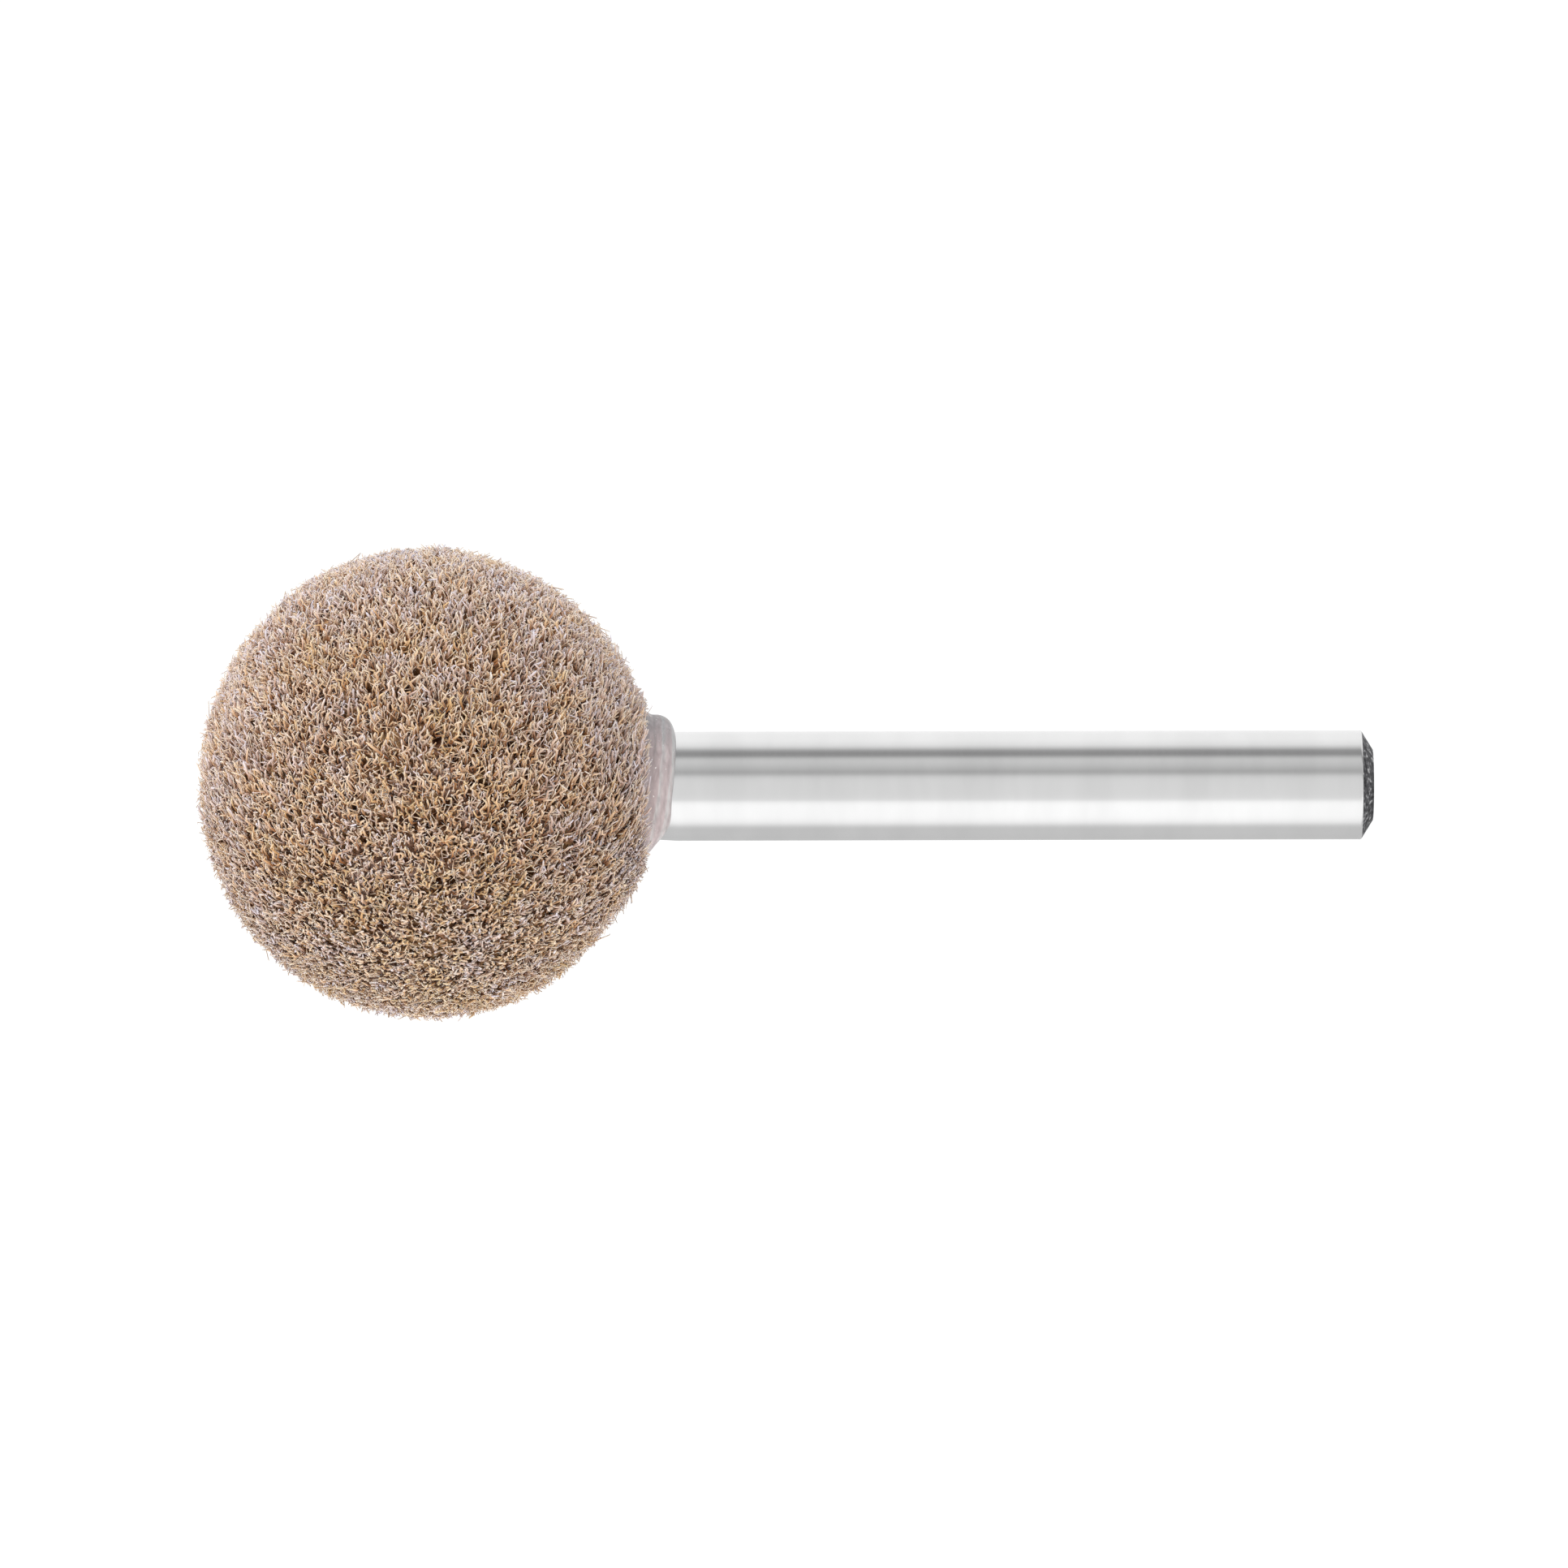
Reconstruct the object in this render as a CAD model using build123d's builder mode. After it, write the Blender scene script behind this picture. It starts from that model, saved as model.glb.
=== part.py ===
from build123d import *
import os

# Fleece polishing point: a ball of fleece, bonded by resin to a round steel shank.
# Sizes are in millimetres. X runs along the shank towards its free end, and Z is up.
# The origin is on the shank's axis, half way along the cylinder that a collet grips.

os.makedirs("parts", exist_ok=True)

# Shank, the part that the collet grips
shank_diameter = 6.0
grip_length = 37.6
end_chamfer_length = 0.65
end_chamfer_depth = 1.05
end_edge_round = 0.12

# Shank, the anchoring end inside the ball. A flute's width is taken at the bar's surface.
anchor_length = 17.0
anchor_undercut = 0.2
lead_taper_length = 3.8
inner_chamfer = 0.5
flute_count = 12
flute_width = 0.62
flute_depth = 0.34
groove_count = 3
groove_width = 0.9
groove_depth = 0.4
groove_spacing = 3.6
first_groove_inset = 2.6

# Fleece ball, a little shorter than it is wide, and a little off the shank's axis
ball_length = 25.1
ball_diameter = 26.0
ball_runout = 0.2

# Resin: the film in the socket, and the bead that leans round the neck and flares out into the fleece.
# The two leans are slopes, so many millimetres aside for each one along the shank. The turn is in degrees.
glue_film = 0.25
socket_end_gap = 0.6
drill_point_length = 1.9
bead_overhang = 1.15
bead_wall = 0.9
bead_edge_round = 1.15
bead_land = 0.2
bead_flare = 0.85
bead_flare_turn = 45.0
bead_skirt = 1.6
bead_rise = 0.1
bead_face_setback = 0.53
bead_lean_down = 0.124
bead_lean_back = 0.12

# Places that follow from the sizes
shank_radius = shank_diameter / 2
anchor_radius = shank_radius - anchor_undercut
socket_radius = shank_radius + glue_film
grip_start = -grip_length / 2
grip_end = grip_length / 2
shank_end = grip_end + end_chamfer_length
anchor_end = grip_start - anchor_length
taper_end = grip_start - lead_taper_length
socket_end = anchor_end - socket_end_gap
ball_radius = ball_diameter / 2
half_length = ball_length / 2
ball_middle = grip_start - bead_overhang - half_length

shank_axis = Axis((0, 0, 0), (1, 0, 0))


def socket_section(mouth):
    """Half section of the drilled socket, from the given place on the axis down to its drill point."""
    with BuildSketch(Plane.XZ) as section:
        with BuildLine():
            Polyline(
                (mouth, 0),
                (mouth, socket_radius),
                (socket_end, socket_radius),
                (socket_end - drill_point_length, 0),
                close=True,
            )
        make_face()
    return section.sketch


# Shank: one turned bar, tapered a little where it enters the resin
with BuildPart() as shank:
    with BuildSketch(Plane.XZ):
        with BuildLine():
            Polyline(
                (anchor_end, 0),
                (anchor_end, anchor_radius - inner_chamfer),
                (anchor_end + inner_chamfer, anchor_radius),
                (taper_end, anchor_radius),
                (grip_start, shank_radius),
                (grip_end, shank_radius),
                (shank_end, shank_radius - end_chamfer_depth),
                (shank_end, 0),
                close=True,
            )
        make_face()
    revolve(axis=shank_axis)
    # The grinding wheel leaves a small round where the cylinder meets the end chamfer
    grip_rims = shank.edges().filter_by(GeomType.CIRCLE).filter_by_position(Axis.X, grip_end, grip_end)
    fillet(grip_rims, radius=end_edge_round)
    # Ring grooves lock the shank lengthways in the resin
    with BuildSketch(Plane.XZ):
        for number in range(groove_count):
            groove_middle = anchor_end + first_groove_inset + number * groove_spacing
            with Locations((groove_middle, anchor_radius)):
                Rectangle(groove_width, 2 * groove_depth)
    revolve(axis=shank_axis, mode=Mode.SUBTRACT)
    # Straight flutes lock it against turning
    with BuildSketch(Plane.YZ.offset(anchor_end)):
        with PolarLocations(anchor_radius, flute_count):
            Polygon((flute_depth, -flute_width), (flute_depth, flute_width), (-flute_depth, 0), align=None)
    extrude(amount=taper_end - anchor_end, mode=Mode.SUBTRACT)

# Ground ball: one spherical face from each pole, which meet in a faint ridge round the middle
face_radius = (half_length + ball_radius ** 2 / half_length) / 2
with BuildPart() as ground_ball:
    with BuildSketch(Plane.XZ):
        with BuildLine():
            near_face = RadiusArc((half_length, 0), (0, ball_radius), -face_radius)
            far_face = RadiusArc(near_face @ 1, (-half_length, 0), -face_radius)
            Line(far_face @ 1, near_face @ 0)
        make_face()
    revolve(axis=shank_axis)

# Fleece ball: set in its place, then drilled on the shank's axis
with BuildPart() as fleece_ball:
    with Locations((ball_middle, 0, ball_runout)):
        add(ground_ball.part)
    revolve(socket_section(grip_start), axis=shank_axis, mode=Mode.SUBTRACT)

# Resin: a bead laid round the neck, joined to the sleeve that fills the socket
bead_radius = shank_radius + bead_wall
bead_direction = Vector(1, bead_lean_back, -bead_lean_down)
bead_centre = (grip_start - bead_face_setback, 0, bead_rise)
bead_plane = Plane(origin=bead_centre, x_dir=bead_direction, z_dir=bead_direction.cross(Vector(0, 0, 1)))
bead_axis = Axis(bead_centre, bead_direction)
land_end = -bead_edge_round - bead_land
sleeve_mouth = grip_start - bead_face_setback - bead_edge_round
with BuildPart() as resin_bond:
    with BuildSketch(bead_plane):
        with BuildLine():
            face = Line((0, 0), (0, bead_radius - bead_edge_round))
            rim = RadiusArc(face @ 1, (-bead_edge_round, bead_radius), -bead_edge_round)
            land = Line(rim @ 1, (land_end, bead_radius))
            flare = JernArc(land @ 1, land % 1, bead_flare, -bead_flare_turn)
            skirt = Line(flare @ 1, (flare @ 1) + (flare % 1) * bead_skirt)
            root = Line(skirt @ 1, ((skirt @ 1).X, 0))
            Line(root @ 1, (0, 0))
        make_face()
    revolve(axis=bead_axis)
    revolve(socket_section(sleeve_mouth), axis=shank_axis)
    # The ball and the shank shape the resin, so it seats on both face to face
    add(fleece_ball.part, mode=Mode.SUBTRACT)
    add(shank.part, mode=Mode.SUBTRACT)

shank.part.label = "shank"
export_step(shank.part, "parts/shank.step")
fleece_ball.part.label = "fleece_ball"
export_step(fleece_ball.part, "parts/fleece_ball.step")
resin_bond.part.label = "resin_bond"
export_step(resin_bond.part, "parts/resin_bond.step")
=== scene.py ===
import math

import bmesh
import bpy
import numpy as np
from bpy.props import FloatProperty, FloatVectorProperty, IntProperty, PointerProperty
from mathutils import Color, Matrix, Vector, kdtree, noise


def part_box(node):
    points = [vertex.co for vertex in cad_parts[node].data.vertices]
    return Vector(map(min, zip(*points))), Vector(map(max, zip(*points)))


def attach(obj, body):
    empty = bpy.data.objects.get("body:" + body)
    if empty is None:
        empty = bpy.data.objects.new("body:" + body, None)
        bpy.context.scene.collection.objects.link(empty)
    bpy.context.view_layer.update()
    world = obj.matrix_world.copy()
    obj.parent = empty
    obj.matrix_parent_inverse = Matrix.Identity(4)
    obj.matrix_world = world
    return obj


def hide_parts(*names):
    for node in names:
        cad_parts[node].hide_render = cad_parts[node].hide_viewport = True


bl_info = {
    "name": "Fleece Polishing Point",
    "version": (1, 0, 0),
    "blender": (4, 5, 0),
    "location": "View3D > Sidebar > Polishing Point",
    "description": "Dresses a ball-shaped fleece polishing point and sets it in a studio",
    "category": "Object",
}

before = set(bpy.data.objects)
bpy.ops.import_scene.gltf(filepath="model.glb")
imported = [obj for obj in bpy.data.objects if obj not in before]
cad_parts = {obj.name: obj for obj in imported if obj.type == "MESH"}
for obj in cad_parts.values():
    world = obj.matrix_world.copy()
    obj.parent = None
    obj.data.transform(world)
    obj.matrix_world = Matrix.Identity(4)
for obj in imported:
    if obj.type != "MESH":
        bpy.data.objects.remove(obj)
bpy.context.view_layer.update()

MM = 0.001
BAKE_MAP = "OFBake"
# The core's height level, which its colour turns into painted shade in hollows and pits
PAINTED_HOLLOW_SHADE = "level"

# X runs along the shank towards its free end, and Z is up. Places come from the frame.
BALL_LOW, BALL_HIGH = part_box("fleece_ball")
_, RESIN_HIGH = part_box("resin_bond")
SHANK_LOW, SHANK_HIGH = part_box("shank")
SHANK_RADIUS = SHANK_HIGH.z
BALL_RADIUS = (BALL_HIGH.z - BALL_LOW.z) / 2
BALL_HALF_LENGTH = 12.55 * MM
BALL_CENTRE = Vector((BALL_LOW.x + BALL_HALF_LENGTH, 0, (BALL_HIGH.z + BALL_LOW.z) / 2))
BALL_AXES = np.array((BALL_HALF_LENGTH, BALL_RADIUS, BALL_RADIUS))
GLUE_FILM = 0.25 * MM
SOCKET_RADIUS = SHANK_RADIUS + GLUE_FILM
SOCKET_END_GAP = 0.6 * MM
SOCKET_END = SHANK_LOW.x - SOCKET_END_GAP
DRILL_POINT = 1.9 * MM
END_CHAMFER = 0.65 * MM
GRIP_END = SHANK_HIGH.x - END_CHAMFER
GRIP_LENGTH = 37.6 * MM
BEAD_EDGE_REACH = 0.48 * MM
BEAD_FACE = RESIN_HIGH.x - BEAD_EDGE_REACH

# The neck's edge in the nap, and how the nap fades in beside it. Its axis lies a little off the shank's.
NECK_OFFSET = 0.1 * MM
NECK_EDGE = 4.08 * MM
NECK_EDGE_WANDER = 0.2 * MM
NECK_FADE_END = 8 * MM
NECK_FADE_LENGTH = 3 * MM
NECK_CLEAR_END_IN_MM = 5.5
NECK_UPPER_FADE = 3.5 * MM
NECK_NEAR_FADE = 4 * MM
NECK_NEAR_RISE = 1.1

# How the fibres vary. A pair holds the least and the most, as shares of the setting.
SITE_JITTER = 0.35
SWIRL = 0.3
TUFT_SWIRL = 0.32
LEAST_LEAN = 0.6
FLAT_LEAN = math.radians(84)
ROOT_LEANS = (0.4, 1.5)
TIP_LEANS = (0.75, 1.2)
BEND = 0.7
LYING_FROM = 0.85
SHAGGINESS = 0.9
TUFT_RISE = 0.12 * MM
TALLEST = 0.18 * MM
SHORTEST = -0.6 * MM
WAVE_LENGTHS = (0.6, 1.6)
SWINGS = (0.3, 1.7)
BOB = 0.45
BOB_PACE = 1.3
FIELD_OFFSETS = (40.3, 50.6, 60.9)
FIBRES_IN_TUFT = 7
TUFT_CLOSING = 1.2
STRAY_SHARE = 0.02

# The pits: how their sizes vary, and how they part the fibres
PIT_SEED = 8
LEAST_PIT = 0.4
PIT_IN_PATCH = 1.1
PIT_IN_PATCH_LIMITS = (0.5, 1.3)
PIT_LESS_ABOVE = 0.14
PIT_MORE_AT_NECK = 0.5
PIT_STRETCH = 0.65
PIT_YIELDS = (0.1, 1.6)
PIT_OPENING = 0.95
PIT_SINK = 0.3 * MM

# A fibre's mesh: sides of its section, its widths from root to tip, and its strip of the map
FIBRE_SIDES = 4
TAPER_PLACES = (0, 0.2, 0.6, 0.8, 1)
TAPER_WIDTHS = (0, 1.05, 1.05, 0.75, 0)
MAP_LEFT = 0.005
MAP_WIDTH = 0.96
STRIP_WIDTH = 0.03
MAP_FOOT = 0.01
MAP_HEIGHT = 0.98


class FleeceSettings(bpy.types.PropertyGroup):
    """The fleece ball: its nap, its core and its colours"""
    strand_count: IntProperty(
        name="Strands", description="Strands of wool in the whole nap", default=35000)
    strand_width: FloatProperty(
        name="Strand width", description="Thickness of a middling strand",
        default=0.112 * MM, subtype="DISTANCE", unit="LENGTH")
    fuzz_count: IntProperty(
        name="Fuzz", description="Fine loose fibres between the strands", default=21000)
    fuzz_width: FloatProperty(
        name="Fuzz width", description="Thickness of a fine loose fibre",
        default=0.05 * MM, subtype="DISTANCE", unit="LENGTH")
    nap_depth: FloatProperty(
        name="Nap depth", description="How deep the fibres are rooted under the ball's outline",
        default=0.76 * MM, subtype="DISTANCE", unit="LENGTH")
    core_depth: FloatProperty(
        name="Core depth", description="How deep the matted core lies under the ball's outline",
        default=0.62 * MM, subtype="DISTANCE", unit="LENGTH")
    core_lump: FloatProperty(
        name="Core lumps", description="Height of the lumps in the matted core",
        default=0.2 * MM, subtype="DISTANCE", unit="LENGTH")
    neck_rise: FloatProperty(
        name="Neck rise", description="How much further the nap stands up round the neck",
        default=0.24 * MM, subtype="DISTANCE", unit="LENGTH")
    root_lean: FloatProperty(
        name="Root lean", description="How far a fibre leans over at its root",
        default=math.radians(23), subtype="ANGLE", unit="ROTATION")
    tip_lean: FloatProperty(
        name="Tip lean", description="How far a fibre leans over at its tip",
        default=math.radians(72), subtype="ANGLE", unit="ROTATION")
    side_lean: FloatProperty(
        name="Side lean", description="How much further the fibres lie down at the neck and the far end",
        default=math.radians(6), subtype="ANGLE", unit="ROTATION")
    curl: FloatProperty(
        name="Curl", description="How far a fibre waves to its side",
        default=0.135 * MM, subtype="DISTANCE", unit="LENGTH")
    curl_length: FloatProperty(
        name="Curl length", description="Length of one wave of a fibre",
        default=0.55 * MM, subtype="DISTANCE", unit="LENGTH")
    clump: FloatProperty(
        name="Clumping", description="How far the tips of a tuft draw together",
        default=0.22, min=0, max=1, subtype="FACTOR")
    pit_count: IntProperty(
        name="Pits", description="Small dark openings in the nap", default=4000)
    pit_radius: FloatProperty(
        name="Pit radius", description="Radius of a middling pit",
        default=0.18 * MM, subtype="DISTANCE", unit="LENGTH")
    pit_depth: FloatProperty(
        name="Pit depth", description="How far a pit goes down into the core",
        default=0.5 * MM, subtype="DISTANCE", unit="LENGTH")
    golden: FloatVectorProperty(
        name="Golden tan", description="Warm fibres", default=(0.885, 0.76, 0.585),
        size=3, subtype="COLOR_GAMMA", min=0, max=1)
    beige: FloatVectorProperty(
        name="Beige", description="Middling fibres", default=(0.915, 0.825, 0.745),
        size=3, subtype="COLOR_GAMMA", min=0, max=1)
    mauve: FloatVectorProperty(
        name="Mauve grey", description="Cool fibres", default=(0.87, 0.81, 0.82),
        size=3, subtype="COLOR_GAMMA", min=0, max=1)
    pale: FloatVectorProperty(
        name="Pale fuzz", description="Fine loose fibres", default=(0.91, 0.86, 0.812),
        size=3, subtype="COLOR_GAMMA", min=0, max=1)
    matted: FloatVectorProperty(
        name="Matted brown", description="The shaded core under the nap", default=(0.51, 0.365, 0.25),
        size=3, subtype="COLOR_GAMMA", min=0, max=1)


class ResinSettings(bpy.types.PropertyGroup):
    """The resin bead: its lean, its waves and its colours"""
    bead_radius: FloatProperty(
        name="Bead radius", description="Radius of the resin bead round the neck",
        default=3.95 * MM, subtype="DISTANCE", unit="LENGTH")
    lean_down: FloatProperty(
        name="Lean down", description="Slope of the bead's face towards the lower side", default=0.124)
    lean_back: FloatProperty(
        name="Lean back", description="Slope of the bead's face towards the far side", default=0.12)
    lump: FloatProperty(
        name="Lumps", description="Height of the waves in the hand-laid bead",
        default=0.07 * MM, subtype="DISTANCE", unit="LENGTH")
    grey: FloatVectorProperty(
        name="Resin grey", description="Clear parts of the resin", default=(0.66, 0.655, 0.655),
        size=3, subtype="COLOR_GAMMA", min=0, max=1)
    mauve: FloatVectorProperty(
        name="Resin mauve", description="Streaks where the fleece has tinted the resin",
        default=(0.66, 0.61, 0.612), size=3, subtype="COLOR_GAMMA", min=0, max=1)
    shaded: FloatVectorProperty(
        name="Resin shade", description="Darker lines in the resin",
        default=(0.52, 0.515, 0.515), size=3, subtype="COLOR_GAMMA", min=0, max=1)


class ShankSettings(bpy.types.PropertyGroup):
    """The shank's steel and its rough end"""
    steel: FloatVectorProperty(
        name="Steel", description="Ground and polished steel", default=(0.945, 0.945, 0.945),
        size=3, subtype="COLOR_GAMMA", min=0, max=1)
    roughness: FloatProperty(
        name="Roughness", description="Roughness of the ground cylinder", default=0.17,
        min=0, max=1, subtype="FACTOR")
    # The end chamfer's darker grey and its light speckles
    end_dark: FloatVectorProperty(
        name="Rough end", description="Dark sawn skin on the end chamfer", default=(0.40, 0.40, 0.41),
        size=3, subtype="COLOR_GAMMA", min=0, max=1)
    end_speckle: FloatVectorProperty(
        name="Rough end speckle", description="Bright speckles on the end chamfer",
        default=(0.80, 0.80, 0.80), size=3, subtype="COLOR_GAMMA", min=0, max=1)


class StageSettings(bpy.types.PropertyGroup):
    """The camera, the floor and the light"""
    camera_distance: FloatProperty(
        name="Camera distance", description="From the lens to the shank's axis",
        default=0.75, subtype="DISTANCE", unit="LENGTH")
    view_width: FloatProperty(
        name="View width", description="Width of the view at the shank's axis",
        default=86.2 * MM, subtype="DISTANCE", unit="LENGTH")
    view_x: FloatProperty(
        name="View centre X", description="Place along the shank at the middle of the view",
        default=-12.91 * MM, subtype="DISTANCE", unit="LENGTH")
    view_z: FloatProperty(
        name="View centre Z", description="Height at the middle of the view",
        default=0.11 * MM, subtype="DISTANCE", unit="LENGTH")
    roll: FloatProperty(
        name="Roll", description="Turn of the camera about its line of sight",
        default=math.radians(0.12), subtype="ANGLE", unit="ROTATION")
    floor_drop: FloatProperty(
        name="Floor drop", description="How far the floor lies under the shank's axis",
        default=55 * MM, subtype="DISTANCE", unit="LENGTH")
    key_power: FloatProperty(
        name="Key light", description="Power of the large soft lamp", default=3.0, unit="POWER")
    fill: FloatProperty(
        name="Fill", description="Brightness of the room for matt surfaces", default=1.09)


def linear(colour):
    """A colour as the eye reads it, as the shader's own numbers."""
    return Vector(Color(colour).from_srgb_to_scene_linear())


def new_material(name):
    """A material with its node tree and its shader."""
    material = bpy.data.materials.new(name)
    material.use_nodes = True
    return material, material.node_tree, material.node_tree.nodes["Principled BSDF"]


def add_node(tree, kind, **settings):
    """A node of the given kind with its settings."""
    node = tree.nodes.new(kind)
    for name, value in settings.items():
        setattr(node, name, value)
    return node


def connect(tree, source, target):
    """Feeds a socket or a number into a socket."""
    if isinstance(source, bpy.types.NodeSocket):
        tree.links.new(source, target)
    else:
        target.default_value = source


def add_math(tree, operation, *values, clamp=False):
    """The result of one sum on sockets or numbers."""
    node = add_node(tree, "ShaderNodeMath", operation=operation, use_clamp=clamp)
    for value, socket in zip(values, node.inputs):
        connect(tree, value, socket)
    return node.outputs[0]


def add_ramp(tree, factor, stops):
    """A colour ramp over the given places and colours."""
    node = add_node(tree, "ShaderNodeValToRGB")
    elements = node.color_ramp.elements
    while len(elements) < len(stops):
        elements.new(0.5)
    for element, (place, colour) in zip(elements, stops):
        element.position = place
        element.color = (*colour[:3], 1)
    connect(tree, factor, node.inputs["Fac"])
    return node.outputs["Color"]


def add_mix(tree, factor, first, second, blend="MIX"):
    """Two colours mixed by a factor."""
    node = add_node(tree, "ShaderNodeMix", data_type="RGBA", blend_type=blend)
    connect(tree, factor, node.inputs["Factor"])
    connect(tree, first, node.inputs["A"])
    connect(tree, second, node.inputs["B"])
    return node.outputs["Result"]


def multiply(tree, first, second):
    """Two colours multiplied."""
    return add_mix(tree, 1.0, first, second, "MULTIPLY")


def add_noise(tree, scale, detail=2.0, stretch=(1, 1, 1), distortion=0.0):
    """Noise in the piece's own place, with its scale in waves for each millimetre."""
    mapping = add_node(tree, "ShaderNodeMapping")
    mapping.inputs["Scale"].default_value = [scale * part / MM for part in stretch]
    tree.links.new(object_place(tree), mapping.inputs["Vector"])
    node = add_node(tree, "ShaderNodeTexNoise")
    node.inputs["Scale"].default_value = 1.0
    node.inputs["Detail"].default_value = detail
    node.inputs["Distortion"].default_value = distortion
    tree.links.new(mapping.outputs["Vector"], node.inputs["Vector"])
    return node.outputs["Fac"]


def add_bump(tree, height, distance):
    """The normal of a surface with waves of the given height."""
    node = add_node(tree, "ShaderNodeBump")
    node.inputs["Strength"].default_value = 1.0
    node.inputs["Distance"].default_value = distance
    tree.links.new(height, node.inputs["Height"])
    return node.outputs["Normal"]


def add_parts(tree, vector):
    """The outputs for the X, Y and Z of a vector."""
    node = add_node(tree, "ShaderNodeSeparateXYZ")
    tree.links.new(vector, node.inputs["Vector"])
    return node.outputs


def object_place(tree):
    """The place in the piece's own space."""
    return add_node(tree, "ShaderNodeTexCoord").outputs["Object"]


def grey(value):
    """A neutral colour."""
    return (value, value, value, 1)


def place_piece(name, mesh, material, node):
    """Links a finished mesh as a piece that stands for a CAD node."""
    if not mesh.polygons:
        raise RuntimeError(f"{name} has no faces")
    piece = bpy.data.objects.new(name, mesh)
    bpy.context.scene.collection.objects.link(piece)
    mesh.materials.clear()
    mesh.materials.append(material)
    mesh.shade_smooth()
    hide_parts(node)
    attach(piece, "root")
    return piece


def turned(outline, steps):
    """A bmesh turned about the shank's axis from half a section, given as places along it and radii."""
    bm = bmesh.new()
    verts = [bm.verts.new((x, 0, radius)) for x, radius in outline]
    edges = [bm.edges.new(pair) for pair in zip(verts, verts[1:])]
    bmesh.ops.spin(
        bm, geom=verts + edges, cent=(0, 0, 0), axis=(1, 0, 0), dvec=(0, 0, 0),
        angle=math.tau, steps=steps, use_merge=True, use_duplicate=False)
    bmesh.ops.remove_doubles(bm, verts=bm.verts, dist=0.001 * MM)
    bmesh.ops.recalc_face_normals(bm, faces=bm.faces)
    return bm


def as_mesh(bm, name):
    """The bmesh as a mesh with that name."""
    mesh = bpy.data.meshes.new(name)
    bm.to_mesh(mesh)
    bm.free()
    return mesh


def fibre_material(settings):
    """Wool fibres: across the map runs their hue, and up it they go from a dark brown root, partly their
    own colour and partly painted shade between the fibres, to a pale tip.
    """
    material, tree, shader = new_material("fleece_fibres")
    place = add_parts(tree, add_node(tree, "ShaderNodeUVMap", uv_map=BAKE_MAP).outputs["UV"])
    golden, beige, mauve = linear(settings.golden), linear(settings.beige), linear(settings.mauve)
    pale = linear(settings.pale)
    hue = add_ramp(tree, place["X"], [
        (0.0, pale), (0.2, pale), (0.3, mauve * 0.85), (0.51, mauve), (0.65, beige),
        (0.8, beige.lerp(golden, 0.6)), (0.92, golden), (1.0, golden * 0.72)])
    # Painted shade: the dark brown low on the map stands partly for shade between the fibres, and partly
    # for the wool's own browner roots
    root_shade_and_tint = add_ramp(tree, place["Y"], [
        (0.0, (0.25, 0.085, 0.03)), (0.25, (0.415, 0.235, 0.125)), (0.5, (0.76, 0.675, 0.57)),
        (0.75, (0.825, 0.905, 0.97)), (1.0, (0.75, 0.85, 0.935))])
    tree.links.new(multiply(tree, hue, root_shade_and_tint), shader.inputs["Base Color"])
    shader.inputs["Roughness"].default_value = 0.75
    shader.inputs["Specular IOR Level"].default_value = 0.2
    shader.inputs["Sheen Weight"].default_value = 0.6
    shader.inputs["Sheen Roughness"].default_value = 0.3
    return material


def core_material(settings):
    """Matted wool under the nap: beige and mauve-brown lumps, with painted shade that darkens the hollows
    and pits and painted light on the lump tops.
    """
    material, tree, shader = new_material("fleece_core")
    matted, golden, mauve = linear(settings.matted), linear(settings.golden), linear(settings.mauve)
    patch = add_ramp(tree, add_noise(tree, 0.55, detail=3.0), [
        (0.36, matted.lerp(mauve, 0.25)), (0.5, matted), (0.64, matted.lerp(golden, 0.4))])
    fine = add_ramp(tree, add_noise(tree, 4.5, detail=3.0), [(0.32, grey(0.45)), (0.68, grey(1.35))])
    level = add_node(tree, "ShaderNodeAttribute", attribute_name=PAINTED_HOLLOW_SHADE).outputs["Fac"]
    # Painted shade and light: dark in the pits and hollows, brighter on the lump tops
    shade = add_ramp(tree, level, [
        (0.0, (0.27, 0.12, 0.052)), (0.55, (0.61, 0.55, 0.49)), (1.0, grey(1.2))])
    tree.links.new(multiply(tree, multiply(tree, patch, fine), shade), shader.inputs["Base Color"])
    tree.links.new(add_bump(tree, add_noise(tree, 5.0, detail=4.0), 0.10 * MM), shader.inputs["Normal"])
    shader.inputs["Roughness"].default_value = 0.95
    shader.inputs["Specular IOR Level"].default_value = 0.1
    return material


def rows_of_unit(vectors):
    """Each row of an array as a unit vector."""
    return vectors / np.maximum(np.linalg.norm(vectors, axis=-1, keepdims=True), 1e-9)


def smooth_level(places, wave, offset):
    """A gentle random number at each place, from about -1 to 1."""
    shift = Vector((offset, -offset, 2 * offset))
    return np.array([noise.noise(Vector(place) / wave + shift) for place in places])


def smooth_field(places, wave, offset):
    """A gentle random vector at each place, with waves of the given length."""
    return np.stack([smooth_level(places, wave, offset + part) for part in FIELD_OFFSETS], axis=1)


def spread_sites(count, rng):
    """Evenly spread, then jittered directions from the ball's centre, one for each fibre."""
    order = np.arange(count) + 0.5
    along = 1 - 2 * order / count
    turn = order * math.pi * (1 + math.sqrt(5))
    ring = np.sqrt(1 - along ** 2)
    even = np.stack((along, ring * np.cos(turn), ring * np.sin(turn)), axis=1)
    spacing = math.sqrt(4 * math.pi / count)
    return rows_of_unit(even + rng.normal(0, SITE_JITTER * spacing, even.shape))


def nearest(places, centres):
    """The index of the nearest centre to each place, and how far it is."""
    tree = kdtree.KDTree(len(centres))
    for index, centre in enumerate(centres):
        tree.insert(centre, index)
    tree.balance()
    found = [tree.find(place) for place in places]
    return np.array([item[1] for item in found]), np.array([item[2] for item in found])


def wool_patches(site):
    """Where the wool is open and golden, above 0, and where it is matted and mauve, below 0."""
    small = smooth_level(site, wave=1.2 * MM, offset=20.0)
    large = smooth_level(site, wave=3.5 * MM, offset=30.0)
    return 0.8 * small + 0.45 * large


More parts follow.
